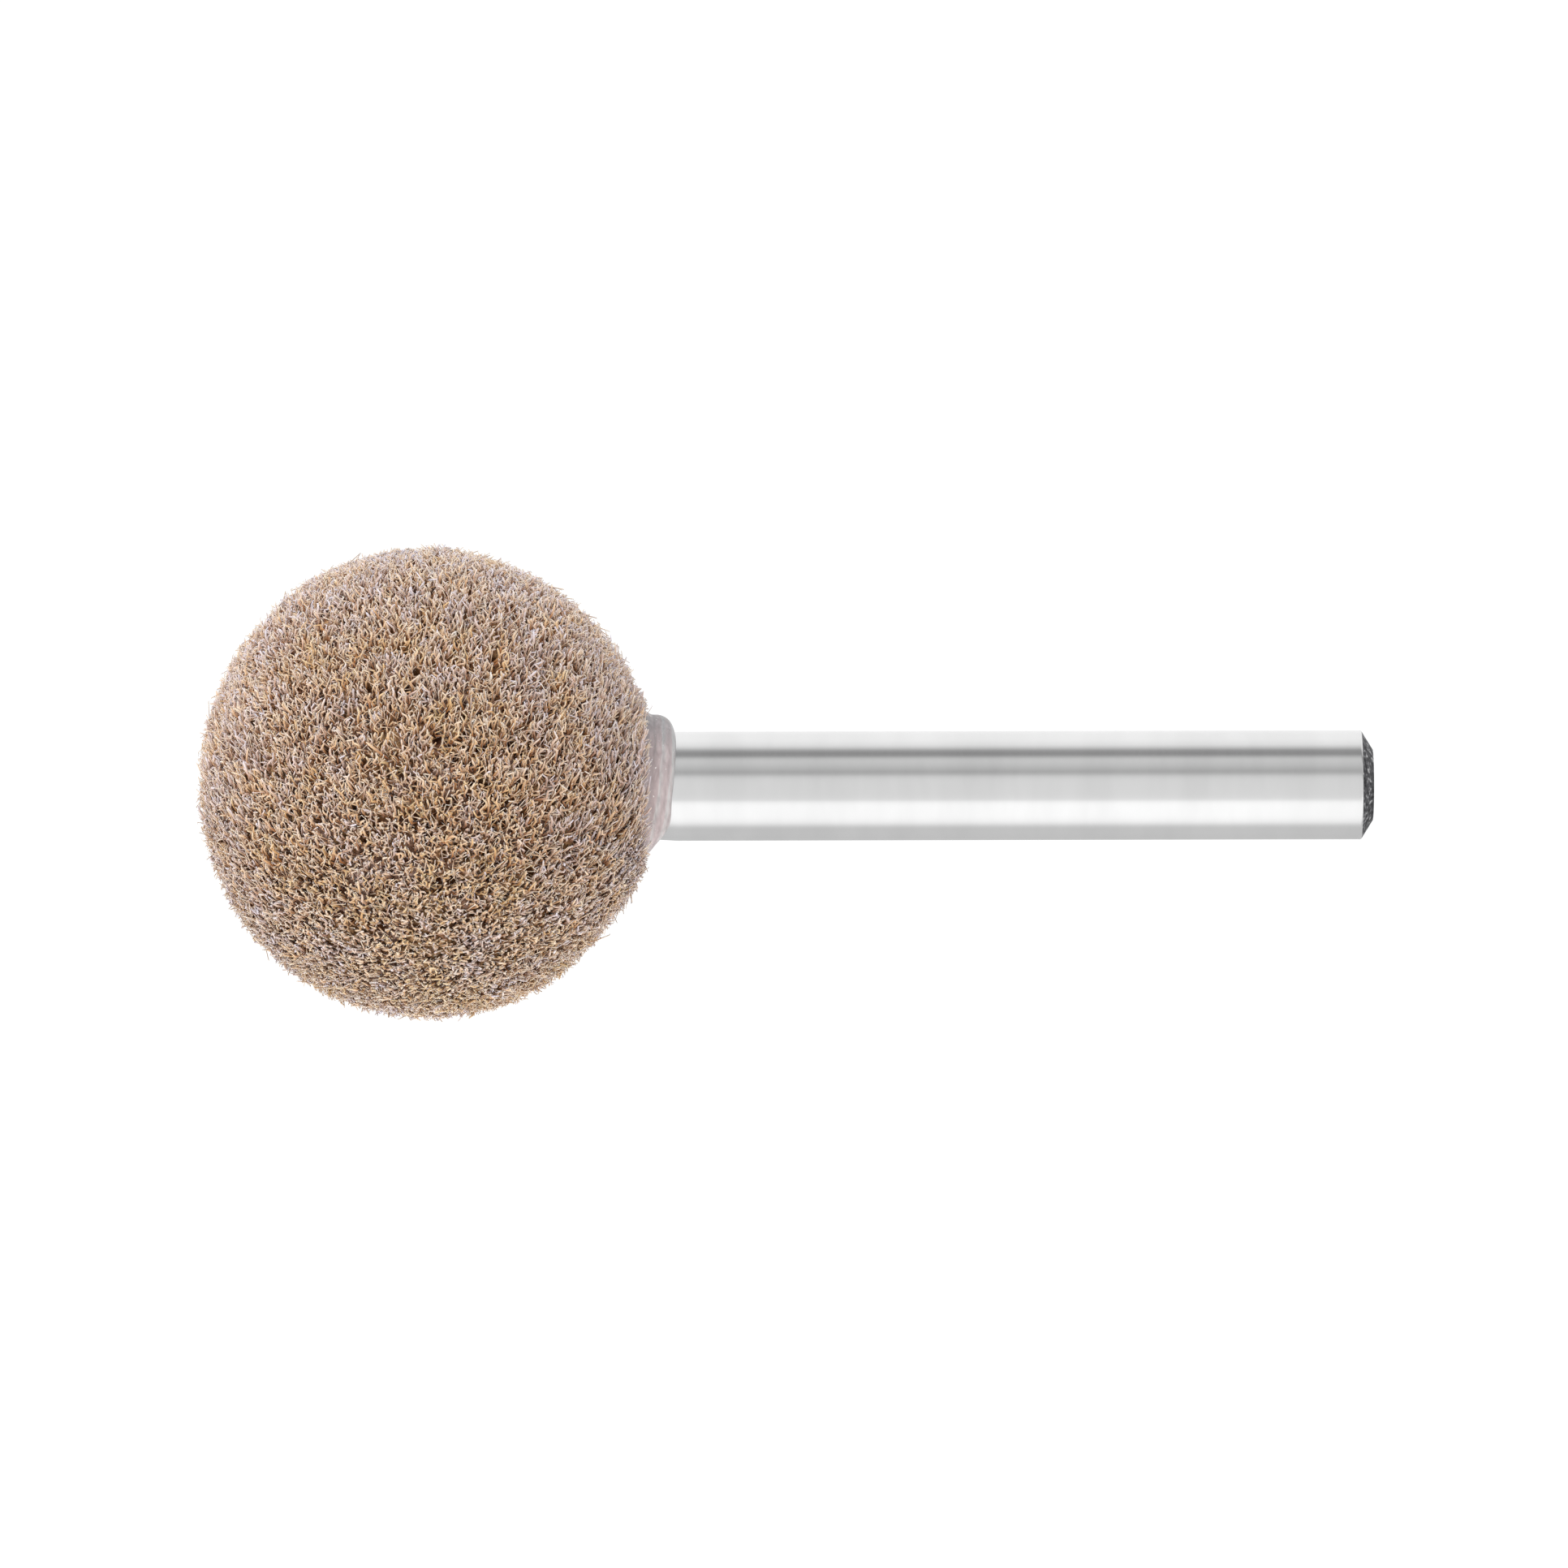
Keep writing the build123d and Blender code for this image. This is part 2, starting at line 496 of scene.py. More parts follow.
def pit_places(settings):
    """Where the small openings in the nap are, and their radii."""
    rng = np.random.default_rng(PIT_SEED)
    unit = spread_sites(settings.pit_count, rng)
    radii = settings.pit_radius * (LEAST_PIT + rng.uniform(0, 1, settings.pit_count) ** 2)
    patches = wool_patches(np.array(BALL_CENTRE) + unit * BALL_AXES)
    radii *= np.clip(1 + PIT_IN_PATCH * patches, *PIT_IN_PATCH_LIMITS)
    radii *= 1 - PIT_LESS_ABOVE * unit[:, 2] + PIT_MORE_AT_NECK * np.clip(unit[:, 0], 0, 1)
    return np.array(BALL_CENTRE) + unit * (BALL_AXES - settings.core_depth), radii


class FleeceCore(bpy.types.Operator):
    """Turn the matted core of the ball, with the socket that the shank is glued into"""
    bl_idname = "polishing_point.fleece_core"
    bl_label = "Fleece Core"

    arc_points = 270
    turns = 330
    outside_from = 0.8
    mouth_edge = 1.02
    pit_edge = 1.25
    lump_wave = 0.55 * MM
    lump_fractal = (0.9, 2.1, 3)
    middle_level = 0.6
    level_by_lump = 0.5

    def execute(self, context):
        settings = context.scene.fleece_settings
        half = BALL_HALF_LENGTH - settings.core_depth
        radius = BALL_RADIUS - settings.core_depth
        mouth_angle = math.asin(SOCKET_RADIUS / radius)
        outline = []
        for index in range(self.arc_points + 1):
            angle = math.pi + (mouth_angle - math.pi) * index / self.arc_points
            outline.append((BALL_CENTRE.x + half * math.cos(angle), radius * math.sin(angle)))
        outline[0] = (outline[0][0], 0)
        outline += [(SOCKET_END, SOCKET_RADIUS), (SOCKET_END - DRILL_POINT, 0)]
        bm = turned(outline, self.turns)
        self.mat_down(bm, settings)
        mesh = as_mesh(bm, "fleece_core")
        place_piece("fleece_core", mesh, core_material(settings), "fleece_ball")
        return {"FINISHED"}

    def mat_down(self, bm, settings):
        """Gives the outside the lumps and pits of matted wool, and notes how high each place lies, which
        the core's colour turns into painted shade in the hollows and pits.
        """
        layer = bm.verts.layers.float.new(PAINTED_HOLLOW_SHADE)
        centre = Vector((BALL_CENTRE.x, 0, 0))
        outside = [vert for vert in bm.verts if (vert.co - centre).length > self.outside_from * BALL_RADIUS]
        mouth = self.mouth_edge * SOCKET_RADIUS
        outside = [vert for vert in outside
                   if math.hypot(vert.co.y, vert.co.z) > mouth or vert.co.x < centre.x]
        places = np.array([vert.co for vert in outside]) + (0, 0, BALL_CENTRE.z)
        pits, radii = pit_places(settings)
        pit, distance = nearest(places, pits)
        sunk = np.clip(self.pit_edge - distance / radii[pit], 0, 1)
        for vert, depth in zip(outside, sunk):
            outward = (vert.co - centre).normalized()
            lumps = noise.fractal(vert.co / self.lump_wave, *self.lump_fractal)
            reach = min(1, 2 * math.hypot(vert.co.y, vert.co.z) / BALL_RADIUS)
            # Painted shade: low lumps and pits get a low level, which darkens their colour
            level = min(1, self.middle_level + self.level_by_lump * lumps)
            vert[layer] = max(0, level * (1 - depth))
            vert.co += outward * (lumps * settings.core_lump - depth * settings.pit_depth)
            vert.co.z += BALL_CENTRE.z * reach


def grow_fibres(settings, count, rng, steps, height, scatter, disorder):
    """Grows fibres out of the ball, leaning the way it turns in use.

    Returns the points of each fibre from root to tip, and the site where it leaves the ball."""
    unit = spread_sites(count, rng)
    site = np.array(BALL_CENTRE) + unit * BALL_AXES
    neck_radius = np.hypot(site[:, 1] - NECK_OFFSET, site[:, 2] - NECK_OFFSET)
    neck_edge = NECK_EDGE + NECK_EDGE_WANDER * smooth_level(site, wave=1.0 * MM, offset=9.0)
    beside_neck = site[:, 0] > BALL_CENTRE.x
    keep = (neck_radius > neck_edge) | ~beside_neck
    unit, site, neck_radius, beside_neck = unit[keep], site[keep], neck_radius[keep], beside_neck[keep]
    count = len(site)
    normal = rows_of_unit(unit / BALL_AXES)
    around = rows_of_unit(np.cross(normal, (1.0, 0.0, 0.0)))
    swirl = SWIRL * smooth_field(site, wave=5.0 * MM, offset=1.0)
    lean = around + swirl + TUFT_SWIRL * smooth_field(site, wave=1.1 * MM, offset=4.0)
    lean += rng.normal(0, disorder, lean.shape)
    lean -= normal * (lean * normal).sum(1, keepdims=True)
    to_neck = rows_of_unit(np.array((1.0, 0.0, 0.0)) - normal * normal[:, :1])
    inward = np.clip((lean * to_neck).sum(1), 0, None)
    inward = inward * np.clip(NECK_CLEAR_END_IN_MM - neck_radius / MM, 0, 1) * beside_neck
    lean -= to_neck * inward[:, None]
    strength = np.clip(np.linalg.norm(lean, axis=1), LEAST_LEAN, 1.0)
    lean = rows_of_unit(lean)
    side = np.cross(normal, lean)

    lying = settings.side_lean * np.clip(np.abs(unit[:, 0]) / LYING_FROM, 0, 1) ** 2
    root_lean = settings.root_lean * strength * rng.uniform(*ROOT_LEANS, count) + lying
    tip_lean = settings.tip_lean * strength * rng.uniform(*TIP_LEANS, count) + lying
    tip_lean = np.minimum(tip_lean, FLAT_LEAN)
    middle = ((steps[1:] + steps[:-1]) / 2) ** BEND
    angle = root_lean[:, None] + (tip_lean - root_lean)[:, None] * middle
    part = np.diff(steps)
    shaggy = scatter * (1 + SHAGGINESS * smooth_level(site, wave=6.0 * MM, offset=12.0))
    tufts = TUFT_RISE * smooth_level(site, wave=1.4 * MM, offset=7.0)
    top = np.minimum(height + shaggy * rng.normal(0, 1, count) + tufts, TALLEST)
    share = 1 - np.clip(site[:, 2] / NECK_UPPER_FADE, 0, 1)
    share = share + NECK_NEAR_RISE * np.clip(-site[:, 1] / NECK_NEAR_FADE, 0, 1)
    fade = np.clip((NECK_FADE_END - neck_radius) / NECK_FADE_LENGTH, 0, 1)
    top += share * settings.neck_rise * fade * beside_neck
    top = np.maximum(top, SHORTEST)
    rise = np.cumsum(np.cos(angle) * part, axis=1)
    length = (settings.nap_depth + top) / rise.max(1)
    rise = np.insert(rise * length[:, None], 0, 0, axis=1) - settings.nap_depth
    run = np.insert(np.cumsum(np.sin(angle) * part, axis=1) * length[:, None], 0, 0, axis=1)

    phase = rng.uniform(0, math.tau, (2, count, 1))
    wave = length[:, None] * steps / (settings.curl_length * rng.uniform(*WAVE_LENGTHS, (count, 1)))
    swing = settings.curl * rng.uniform(*SWINGS, (count, 1)) * np.sqrt(steps)
    sway = swing * np.sin(math.tau * wave + phase[0])
    bob = BOB * swing * np.sin(math.tau * BOB_PACE * wave + phase[1])

    points = site[:, None, :] + normal[:, None, :] * (rise + bob)[:, :, None]
    points += lean[:, None, :] * run[:, :, None] + side[:, None, :] * sway[:, :, None]
    return points, site


def draw_together(points, site, settings, rng, steps):
    """Draws the tips of neighbouring fibres together into tufts."""
    leaders = rng.choice(len(site), len(site) // FIBRES_IN_TUFT, replace=False)
    group, _ = nearest(site, site[leaders])
    closing = (steps ** TUFT_CLOSING)[None, :, None]
    pull = settings.clump * rng.uniform(0.0, 1.0, (len(site), 1, 1)) * closing
    return points + (points[leaders][group] - points) * pull


def part_round_pits(points, settings, rng):
    """Bends the fibres aside round the small openings in the nap, some less than others."""
    pits, radii = pit_places(settings)
    flat = points.reshape(-1, 3)
    pit, _ = nearest(flat, pits)
    outward = rows_of_unit(pits[pit] - np.array(BALL_CENTRE))
    away = flat - pits[pit]
    away -= outward * (away * outward).sum(1, keepdims=True)
    nap_way = rows_of_unit(np.cross(outward, (1.0, 0.0, 0.0)))
    away -= PIT_STRETCH * nap_way * (away * nap_way).sum(1, keepdims=True)
    distance = np.linalg.norm(away, axis=1)
    yielding = np.repeat(np.clip(rng.uniform(*PIT_YIELDS, len(points)), 0, 1), points.shape[1])
    inside = (yielding * np.clip(1 - distance / radii[pit], 0, 1))[:, None]
    aside = rows_of_unit(away) * inside * PIT_OPENING * radii[pit][:, None]
    return (flat + aside - outward * inside * PIT_SINK).reshape(points.shape)


def fibre_mesh(name, points, width, thickness, shade, reach):
    """A mesh of tapered fibres with the map that carries their shade."""
    curve = bpy.data.curves.new(name, "CURVE")
    curve.dimensions = "3D"
    curve.bevel_depth = width / 2
    curve.bevel_resolution = 0
    fibres, length = points.shape[:2]
    taper = np.interp(np.arange(length) / (length - 1), TAPER_PLACES, TAPER_WIDTHS)
    places = np.concatenate((points, np.ones((fibres, length, 1))), axis=2).astype(np.float32)
    radii = (thickness[:, None] * taper).astype(np.float32)
    for place, radius in zip(places, radii):
        spline = curve.splines.new("POLY")
        spline.points.add(length - 1)
        spline.points.foreach_set("co", place.ravel())
        spline.points.foreach_set("radius", radius)
    holder = bpy.data.objects.new(name, curve)
    mesh = bpy.data.meshes.new_from_object(holder)
    bpy.data.objects.remove(holder)
    bpy.data.curves.remove(curve)
    mesh.name = name
    map_fibres(mesh, length, shade, reach)
    bm = bmesh.new()
    bm.from_mesh(mesh)
    bmesh.ops.remove_doubles(bm, verts=bm.verts, dist=0.0002 * MM)
    bm.to_mesh(mesh)
    bm.free()
    return mesh


def map_fibres(mesh, length, shade, reach):
    """Lays each fibre on the piece's only map, as a narrow upright strip at the place of its shade."""
    while mesh.uv_layers:
        mesh.uv_layers.remove(mesh.uv_layers[0])
    corner = np.zeros(len(mesh.loops), np.int32)
    mesh.loops.foreach_get("vertex_index", corner)
    corner = corner.reshape(-1, 4)
    fibre = corner // (FIBRE_SIDES * length)
    ring = corner % (FIBRE_SIDES * length) // FIBRE_SIDES
    turn = corner % FIBRE_SIDES
    closes = (turn == 0) & (turn.max(1, keepdims=True) == FIBRE_SIDES - 1)
    turn = np.where(closes, FIBRE_SIDES, turn)
    across = MAP_LEFT + MAP_WIDTH * shade[fibre] + STRIP_WIDTH * turn / FIBRE_SIDES
    up = MAP_FOOT + MAP_HEIGHT * reach[fibre] * ring / (length - 1)
    layer = mesh.uv_layers.new(name=BAKE_MAP)
    layer.uv.foreach_set("vector", np.stack((across, up), axis=-1).astype(np.float32).ravel())


def fibre_shades(site, rng):
    """Shades of the strands, from 0.3, dark mauve, over 0.65, pale beige, to 1, dark gold, in patches, with
    painted light that pales them towards the rims and over the top.
    """
    along, _, up = ((site - np.array(BALL_CENTRE)) / BALL_AXES).T
    middle, by_patch, spread, darkest = 0.77, 0.42, 0.08, 0.3
    shade = middle + by_patch * wool_patches(site) + rng.normal(0, spread, len(site))
    # Painted light: cooler, paler shades towards the left, right, top and bottom rims and over the upper
    # half; the mauve at the neck is the wool's own
    painted_rim_paleness = 0.28 * along ** 2 + 0.16 * up ** 2
    at_neck = 0.08 * np.clip(along, 0, 1) ** 4
    shade -= painted_rim_paleness + 0.10 * up + at_neck
    return with_strays(np.clip(shade, darkest, 1), rng)


def with_strays(shade, rng):
    """The same shades, with a few fibres of any shade among them."""
    stray = rng.uniform(0, 1, len(shade)) < STRAY_SHARE
    return np.where(stray, rng.uniform(0, 1, len(shade)), shade)


class FleeceNap(bpy.types.Operator):
    """Grow the nap of wool fibres that covers the ball"""
    bl_idname = "polishing_point.fleece_nap"
    bl_label = "Fleece Nap"

    seed = 26
    strand_steps = np.array((0.0, 0.22, 0.42, 0.61, 0.8, 0.97, 1.0))
    strand_habit = {"height": -0.21 * MM, "scatter": 0.12 * MM, "disorder": 0.42}
    strand_widths = (0.6, 1.4)
    strand_reaches = (0.60, 0.95)
    strand_wedges = 8
    fuzz_steps = np.array((0.0, 0.5, 0.96, 1.0))
    fuzz_habit = {"height": -0.10 * MM, "scatter": 0.13 * MM, "disorder": 0.8}
    fuzz_widths = (0.7, 1.3)
    fuzz_reaches = (0.75, 1.0)
    fuzz_shade = 0.15
    fuzz_shade_spread = 0.09
    fuzz_wedges = 5

    def execute(self, context):
        settings = context.scene.fleece_settings
        material = fibre_material(settings)
        rng = np.random.default_rng(self.seed)
        steps = self.strand_steps
        points, site = grow_fibres(settings, settings.strand_count, rng, steps, **self.strand_habit)
        points = draw_together(points, site, settings, rng, steps)
        points = part_round_pits(points, settings, rng)
        up = (site[:, 2] - BALL_CENTRE.z) / BALL_RADIUS
        # Painted light: strands at the top and bottom rims reach further up the map, so their tips come out
        # paler there
        reach = rng.uniform(*self.strand_reaches, len(site)) + 0.02 * up + 0.14 * up ** 2
        width = rng.uniform(*self.strand_widths, len(site))
        look = width, fibre_shades(site, rng), np.minimum(reach, 1)
        self.dress("fleece_nap", self.strand_wedges, points, site, settings.strand_width, look, material)

        points, site = grow_fibres(
            settings, settings.fuzz_count, rng, self.fuzz_steps, **self.fuzz_habit)
        points = part_round_pits(points, settings, rng)
        shade = rng.normal(self.fuzz_shade, self.fuzz_shade_spread, len(site))
        shade = with_strays(np.clip(shade, 0, 1), rng)
        width = rng.uniform(*self.fuzz_widths, len(site))
        look = width, shade, rng.uniform(*self.fuzz_reaches, len(site))
        self.dress("fleece_fuzz", self.fuzz_wedges, points, site, settings.fuzz_width, look, material)
        return {"FINISHED"}

    def dress(self, name, wedges, points, site, width, look, material):
        """Places one layer of the nap as pieces, each a wedge of the ball about the shank's axis."""
        angle = np.arctan2(site[:, 2] - BALL_CENTRE.z, site[:, 1])
        wedge = np.clip(((angle / math.tau + 0.5) * wedges).astype(int), 0, wedges - 1)
        for number in range(wedges):
            part = wedge == number
            piece = f"{name}_{number + 1}"
            mesh = fibre_mesh(piece, points[part], width, *(value[part] for value in look))
            place_piece(piece, mesh, material, "fleece_ball")


def resin_material(settings):
    """Cloudy cured resin, streaked along the bead where it has taken up wool, with painted shade and light
    by height and painted glints.
    """
    material, tree, shader = new_material("bond_resin")
    place = object_place(tree)
    lean = add_node(tree, "ShaderNodeVectorMath", operation="DOT_PRODUCT")
    tree.links.new(place, lean.inputs[0])
    lean.inputs[1].default_value = (1, settings.lean_back, -settings.lean_down)
    # Bands round the bead, by their place from its face, at 0, to 2 mm behind it, at 1
    wander = add_math(tree, "MULTIPLY", add_noise(tree, 0.7, detail=2.0), 0.3 * MM)
    depth = add_math(tree, "SUBTRACT", BEAD_FACE, lean.outputs["Value"])
    depth = add_math(tree, "MULTIPLY", add_math(tree, "ADD", depth, wander), 0.5 / MM)
    clear, tinted, dark = linear(settings.grey), linear(settings.mauve), linear(settings.shaded)
    colour = add_ramp(tree, depth, [
        (0.06, clear), (0.085, dark), (0.12, clear * 1.08), (0.22, clear * 1.12), (0.27, tinted),
        (0.32, dark.lerp(tinted, 0.6)), (0.37, tinted), (0.44, clear.lerp(tinted, 0.5) * 1.05),
        (0.49, clear), (0.52, clear * 1.15), (0.56, tinted * 1.05), (0.66, tinted * 1.1),
        (0.74, dark.lerp(tinted, 0.6)), (0.80, tinted * 1.1), (0.9, tinted)])
    cloud = add_noise(tree, 1.5, detail=4.0, stretch=(3.0, 0.35, 0.35), distortion=0.3)
    cloud = add_ramp(tree, cloud, [(0.42, grey(0.0)), (0.62, grey(0.6))])
    colour = add_mix(tree, cloud, colour, (*tinted, 1))
    streaks = add_noise(tree, 1.0, detail=5.0, stretch=(5.0, 1.4, 1.4), distortion=0.5)
    streaks = add_ramp(tree, streaks, [(0.32, grey(0.84)), (0.5, grey(1.0)), (0.68, grey(1.17))])
    # Painted shade and light by height: darker at the bead's upper edge, at 0, than in its middle, at 0.5,
    # and at its lower side, at 1
    lower = add_math(tree, "MULTIPLY_ADD", add_parts(tree, place)["Z"], -0.12 / MM, 0.45, clamp=True)
    painted_light_by_height = add_ramp(tree, lower, [
        (0.0, (0.46, 0.48, 0.49)), (0.07, (0.58, 0.60, 0.61)), (0.2, grey(0.84)),
        (0.5, (0.98, 0.96, 0.95)), (0.7, (0.90, 0.87, 0.86)), (1.0, (0.92, 0.88, 0.87))])
    colour = multiply(tree, multiply(tree, colour, streaks), painted_light_by_height)
    # Painted glints: small pale spots mixed into the resin's colour
    painted_glints = add_ramp(tree, add_noise(tree, 7.0, detail=2.0), [(0.70, grey(0.0)), (0.74, grey(0.8))])
    colour = add_mix(tree, painted_glints, colour, grey(0.75))
    tree.links.new(colour, shader.inputs["Base Color"])
    bump = add_bump(tree, add_noise(tree, 1.4, detail=2.0, stretch=(1, 0.5, 0.5)), 0.10 * MM)
    tree.links.new(bump, shader.inputs["Normal"])
    shader.inputs["Roughness"].default_value = 0.3
    shader.inputs["IOR"].default_value = 1.5
    shader.inputs["Subsurface Weight"].default_value = 0.3
    shader.inputs["Subsurface Radius"].default_value = (1.0, 0.9, 0.85)
    shader.inputs["Subsurface Scale"].default_value = 0.3 * MM
    return material


class ResinBead(bpy.types.Operator):
    """Turn the resin that fills the socket and lies as a leaning bead round the neck"""
    bl_idname = "polishing_point.resin_bead"
    bl_label = "Resin Bead"

    turns = 128
    edge_round = 1.15 * MM
    flare_round = 0.3 * MM
    flare_turn = 45
    flare_parts = 8
    land = 0.05 * MM
    skirt = 1.6 * MM
    skirt_parts = 8
    edge_parts = 20
    face_parts = 3
    bulge = 0.17 * MM
    bulge_height = -2.0 * MM
    bulge_reach = 0.9 * MM
    tuck = 0.22 * MM
    tuck_height = -3.3 * MM
    tuck_reach = 0.65 * MM
    lean_fade = 1.5 * MM
    inside_margin = 0.1 * MM
    lump_wave = 2.6 * MM
    lump_fractal = (1.0, 2.0, 2)
    lump_along = 0.4
    lumps_from = 1.02
    anchor_radius = SHANK_RADIUS - 0.2 * MM
    taper_length = 3.8 * MM

    def execute(self, context):
        settings = context.scene.resin_settings
        face, radius = BEAD_FACE, settings.bead_radius
        outline = [(SOCKET_END - DRILL_POINT, 0), (SOCKET_END, SOCKET_RADIUS)]
        flare_x = face - self.edge_round - self.land
        turn = math.radians(self.flare_turn)
        flare_end = flare_x - self.flare_round * math.sin(turn)
        flare_rise = radius + self.flare_round * (1 - math.cos(turn))
        skirt = self.skirt * math.cos(turn)
        inner_end, inner_rise = flare_end - skirt, flare_rise + skirt
        outline += [(inner_end, SOCKET_RADIUS), (inner_end, inner_rise)]
        outline += self.divided((inner_end, inner_rise), (flare_end, flare_rise), self.skirt_parts)
        flare_centre = (flare_x, radius + self.flare_round)
        outline += self.arc(flare_centre, self.flare_round, -90 - self.flare_turn, -90, self.flare_parts)
        edge_centre = (face - self.edge_round, radius - self.edge_round)
        outline += self.arc(edge_centre, self.edge_round, 90, 0, self.edge_parts)
        outline += self.divided(outline[-1], (face, SHANK_RADIUS), self.face_parts)
        outline += [(GRIP_END - GRIP_LENGTH - self.taper_length, self.anchor_radius)]
        outline += [(SHANK_LOW.x, self.anchor_radius), (SHANK_LOW.x, 0)]
        bm = turned(outline, self.turns)
        for vert in bm.verts:
            self.shape(vert, settings, inner_end)
        mesh = as_mesh(bm, "resin_bead")
        place_piece("resin_bead", mesh, resin_material(settings), "resin_bond")
        return {"FINISHED"}

    def arc(self, centre, radius, start, end, parts):
        """Points along an arc of the section, from one angle in degrees to another."""
        angles = [math.radians(start + (end - start) * index / parts) for index in range(parts + 1)]
        return [(centre[0] + radius * math.cos(a), centre[1] + radius * math.sin(a)) for a in angles]

    def divided(self, start, end, parts):
        """Points along a straight run of the section, without its first."""
        steps = [index / parts for index in range(1, parts)]
        return [(start[0] + (end[0] - start[0]) * s, start[1] + (end[1] - start[1]) * s) for s in steps]

    def shape(self, vert, settings, inner_end):
        """Leans the bead and gives it the waves of a bead laid by hand."""
        x, y, z = vert.co
        radius = math.hypot(y, z)
        if x < inner_end - self.inside_margin:
            return
        share = min(1, max(0, (x - inner_end) / self.lean_fade))
        bulge = self.bulge * math.exp(-((z - self.bulge_height) / self.bulge_reach) ** 2)
        tuck = self.tuck * math.exp(-((z - self.tuck_height) / self.tuck_reach) ** 2)
        vert.co.x += share * (settings.lean_down * z - settings.lean_back * y + bulge - tuck)
        if radius > SHANK_RADIUS * self.lumps_from:
            wave = noise.fractal(vert.co / self.lump_wave, *self.lump_fractal)
            outward = Vector((self.lump_along, y / radius, z / radius))
            vert.co += outward * wave * settings.lump * share


def steel_material(settings):
    """Ground steel, darker and rougher on the end chamfer and face, with light speckles there."""
    material, tree, shader = new_material("ground_steel")
    edge_start, edge_width = GRIP_END + 0.01 * MM, 0.02 * MM
    past_edge = add_math(tree, "SUBTRACT", add_parts(tree, object_place(tree))["X"], edge_start)
    rough_end = add_math(tree, "MULTIPLY", past_edge, 1 / edge_width, clamp=True)

    lines = add_noise(tree, 9.0, detail=3.0, stretch=(1, 0.05, 0.05))
    steel, dark = Vector(settings.steel), Vector(settings.end_dark)
    tone = add_ramp(tree, add_noise(tree, 0.5, detail=3.0, stretch=(1, 0.3, 0.3)), [
        (0.35, linear(steel * 0.975)), (0.65, linear(steel))])
    # The end chamfer: a darker grey with light speckles
    speckle = add_ramp(tree, add_noise(tree, 4.2, detail=3.0), [
        (0.36, linear(dark * 0.6)), (0.5, linear(dark)), (0.58, linear(dark * 1.2)),
        (0.68, linear(settings.end_speckle))])
    tree.links.new(add_mix(tree, rough_end, tone, speckle), shader.inputs["Base Color"])

    line_swing, line_depth, end_roughness = 0.08, 0.012, 0.62
    cylinder = add_math(tree, "MULTIPLY_ADD", lines, line_swing, settings.roughness - line_swing / 2)
    rougher = add_node(tree, "ShaderNodeMix", data_type="FLOAT")
    connect(tree, rough_end, rougher.inputs["Factor"])
    connect(tree, cylinder, rougher.inputs["A"])
    rougher.inputs["B"].default_value = end_roughness
    tree.links.new(rougher.outputs["Result"], shader.inputs["Roughness"])

    grain = add_math(tree, "MULTIPLY", add_noise(tree, 8.0, detail=4.0), rough_end)
    grain = add_math(tree, "ADD", grain, add_math(tree, "MULTIPLY", lines, line_depth))
    tree.links.new(add_bump(tree, grain, 0.06 * MM), shader.inputs["Normal"])
    shader.inputs["Metallic"].default_value = 1.0
    return material


class SteelShank(bpy.types.Operator):
    """Finish the shank as ground steel with a rough dark end chamfer"""
    bl_idname = "polishing_point.steel_shank"
    bl_label = "Steel Shank"

    def execute(self, context):
        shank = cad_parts["shank"]
        if not shank.material_slots:
            raise RuntimeError("the shank has no material slot")
        for slot in shank.material_slots:
            slot.material = steel_material(context.scene.shank_settings)
        return {"FINISHED"}


# Brightness of the room by its direction round the shank, in degrees above the line to the camera.
# The bright bands are soft boxes, and the dark ones are flags that draw the dark lines along the steel.
ROOM_BANDS = (
    (-180, 0.59), (-146, 0.59), (-120, 0.62), (-103, 0.61), (-96, 0.69), (-87, 0.94), (-80, 1.05),
    (-70, 1.12), (-42, 1.13), (-35, 1.05), (-30, 0.80), (-18, 0.77), (13, 0.75), (20, 0.66), (25, 0.46),
    (30, 0.41), (36, 0.51), (45, 0.59), (52, 0.64), (58, 0.62), (63, 0.47), (67, 0.27), (77, 0.28),
    (82, 0.42), (88, 0.66), (95, 0.84), (112, 0.95), (180, 0.97),
)


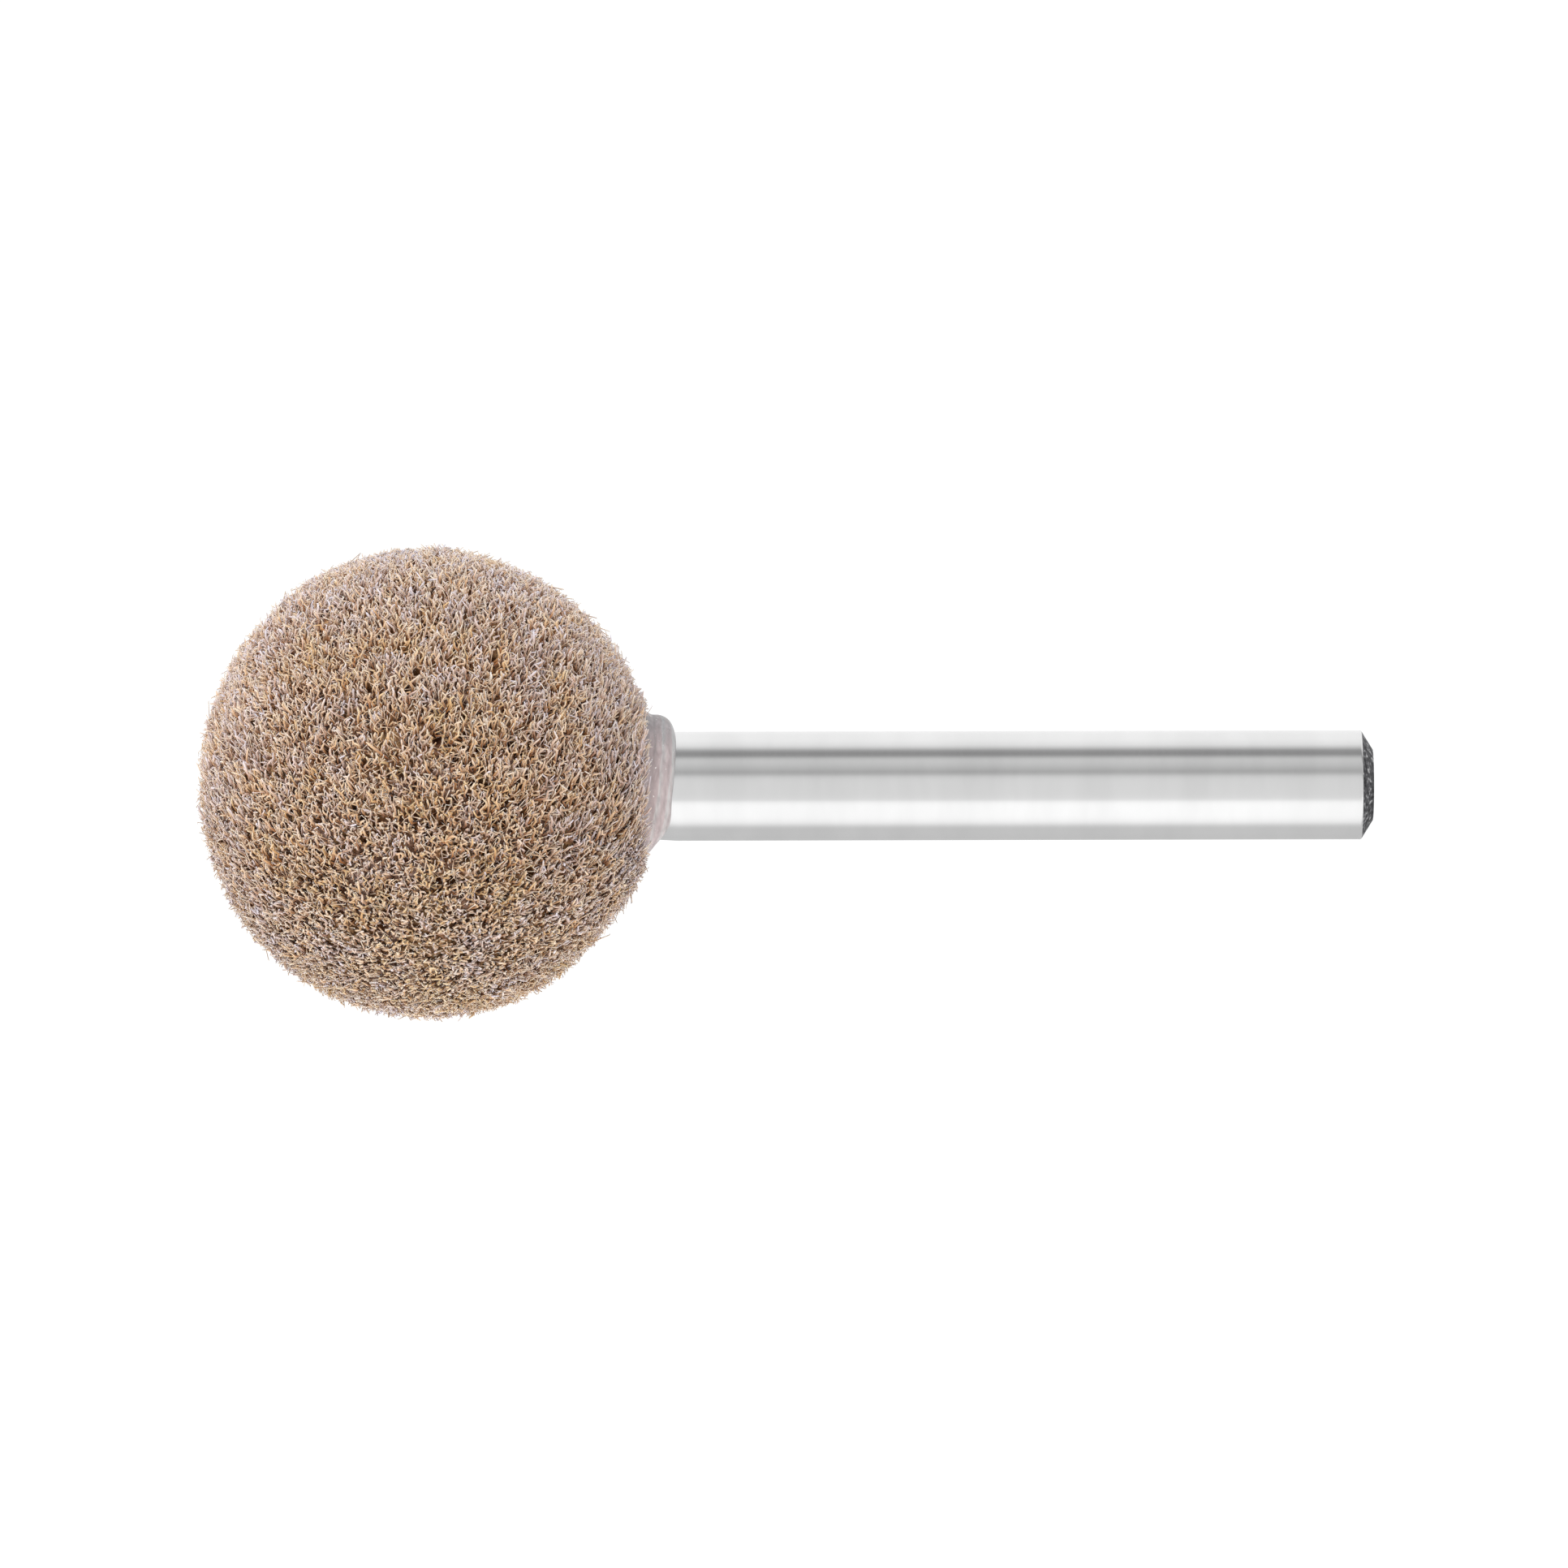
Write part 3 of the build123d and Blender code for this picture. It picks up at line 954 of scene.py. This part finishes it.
class StudioStage(bpy.types.Operator):
    """Set up the floor, the room, the lamp and the camera"""
    bl_idname = "polishing_point.studio_stage"
    bl_label = "Studio Stage"

    floor_size = 3.0
    floor_grey = 0.86
    floor_roughness = 0.9
    floor_glow = 0.5
    floor_seen_glow = 0.65
    sensor = 36.0
    near_clip = 0.05
    far_clip = 20.0
    lamp_size = 0.45
    lamp_place = (-0.25, -0.30, 0.50)
    brightest = 1.2
    white = 1.05
    back_light = 0.6
    top_light = 0.32

    def execute(self, context):
        settings = context.scene.stage_settings
        context.scene.view_settings.view_transform = "Standard"
        self.floor(settings)
        self.room(context.scene, settings)
        self.lamp(settings)
        self.camera(context.scene, settings)
        return {"FINISHED"}

    def floor(self, settings):
        """A pale matt floor that keeps the shadow and clips to white where it is lit."""
        bm = bmesh.new()
        bmesh.ops.create_grid(bm, x_segments=1, y_segments=1, size=self.floor_size / 2)
        bmesh.ops.translate(bm, verts=bm.verts, vec=(0, 0, -settings.floor_drop))
        floor = bpy.data.objects.new("floor", as_mesh(bm, "floor"))
        bpy.context.scene.collection.objects.link(floor)
        material, tree, shader = new_material("pale_floor")
        shader.inputs["Base Color"].default_value = grey(self.floor_grey)
        shader.inputs["Roughness"].default_value = self.floor_roughness
        shader.inputs["Specular IOR Level"].default_value = 0.0
        shader.inputs["Emission Color"].default_value = grey(1.0)
        seen, glossy = self.rays(tree)
        seen = add_math(tree, "MAXIMUM", seen, glossy)
        level = add_math(tree, "MULTIPLY_ADD", seen, self.floor_seen_glow, self.floor_glow)
        tree.links.new(level, shader.inputs["Emission Strength"])
        floor.data.materials.append(material)
        floor.visible_glossy = False

    def rays(self, tree):
        """Whether the ray comes from the camera or through glass, and whether a mirror sent it."""
        rays = add_node(tree, "ShaderNodeLightPath").outputs
        seen = add_math(tree, "MAXIMUM", rays["Is Camera Ray"], rays["Is Transmission Ray"])
        return seen, rays["Is Glossy Ray"]

    def room(self, scene, settings):
        """White where the camera looks, soft for matt surfaces, and banded where metal mirrors it."""
        scene.world = bpy.data.worlds.new("studio_room")
        scene.world.use_nodes = True
        tree = scene.world.node_tree
        way = add_parts(tree, add_node(tree, "ShaderNodeTexCoord").outputs["Generated"])
        towards_camera = add_math(tree, "MULTIPLY", way["Y"], -1.0)
        angle = add_math(tree, "ARCTAN2", way["Z"], towards_camera)
        place = add_math(tree, "MULTIPLY_ADD", angle, 1 / math.tau, 0.5)
        stops = [(0.5 + band / 360, grey(level / self.brightest)) for band, level in ROOM_BANDS]
        bands = add_ramp(tree, place, stops)
        bands = multiply(tree, bands, grey(self.brightest))
        back = add_math(tree, "MULTIPLY_ADD", way["Y"], settings.fill * self.back_light, settings.fill)
        top = add_math(tree, "MULTIPLY", way["Z"], settings.fill * self.top_light)
        seen, glossy = self.rays(tree)
        colour = add_mix(tree, glossy, add_math(tree, "ADD", back, top), bands)
        colour = add_mix(tree, seen, colour, grey(self.white))
        tree.links.new(colour, tree.nodes["Background"].inputs["Color"])

    def lamp(self, settings):
        """One large soft lamp, above and to the left of the camera."""
        lamp = bpy.data.lights.new("key_lamp", "AREA")
        lamp.shape = "SQUARE"
        lamp.size = self.lamp_size
        lamp.energy = settings.key_power
        key = bpy.data.objects.new("key_lamp", lamp)
        key.location = BALL_CENTRE + Vector(self.lamp_place)
        key.rotation_euler = (BALL_CENTRE - key.location).to_track_quat("-Z", "Y").to_euler()
        key.visible_glossy = False
        bpy.context.scene.collection.objects.link(key)

    def camera(self, scene, settings):
        """A long lens, level with the shank."""
        lens = bpy.data.cameras.new("camera")
        lens.sensor_width = self.sensor
        lens.lens = self.sensor * settings.camera_distance / settings.view_width
        lens.clip_start = self.near_clip
        lens.clip_end = self.far_clip
        camera = bpy.data.objects.new("camera", lens)
        camera.location = (settings.view_x, -settings.camera_distance, settings.view_z)
        camera.rotation_euler = (math.pi / 2, settings.roll, 0)
        scene.collection.objects.link(camera)
        scene.camera = camera


class PolishingPointPanel(bpy.types.Panel):
    """A button for each operator, and all the settings"""
    bl_idname = "VIEW3D_PT_polishing_point"
    bl_label = "Polishing Point"
    bl_space_type = "VIEW_3D"
    bl_region_type = "UI"
    bl_category = "Polishing Point"

    def draw(self, context):
        for operator in OPERATORS:
            self.layout.operator(operator.bl_idname)
        for name, group in SETTINGS.items():
            column = self.layout.column()
            column.label(text=name.replace("_", " ").capitalize())
            for prop in group.__annotations__:
                column.prop(getattr(context.scene, name), prop)


SETTINGS = {
    "fleece_settings": FleeceSettings,
    "resin_settings": ResinSettings,
    "shank_settings": ShankSettings,
    "stage_settings": StageSettings,
}
OPERATORS = (FleeceCore, FleeceNap, ResinBead, SteelShank, StudioStage)
CLASSES = (*SETTINGS.values(), *OPERATORS, PolishingPointPanel)


def register():
    """Adds the classes, and the settings to every scene."""
    for item in CLASSES:
        bpy.utils.register_class(item)
    for name, group in SETTINGS.items():
        setattr(bpy.types.Scene, name, PointerProperty(type=group))


def unregister():
    """Takes away all that register adds."""
    for name in SETTINGS:
        delattr(bpy.types.Scene, name)
    for item in reversed(CLASSES):
        bpy.utils.unregister_class(item)


def main():
    """Builds the whole scene."""
    register()
    bpy.ops.polishing_point.fleece_core()
    bpy.ops.polishing_point.fleece_nap()
    bpy.ops.polishing_point.resin_bead()
    bpy.ops.polishing_point.steel_shank()
    bpy.ops.polishing_point.studio_stage()


if __name__ == "__main__":
    main()
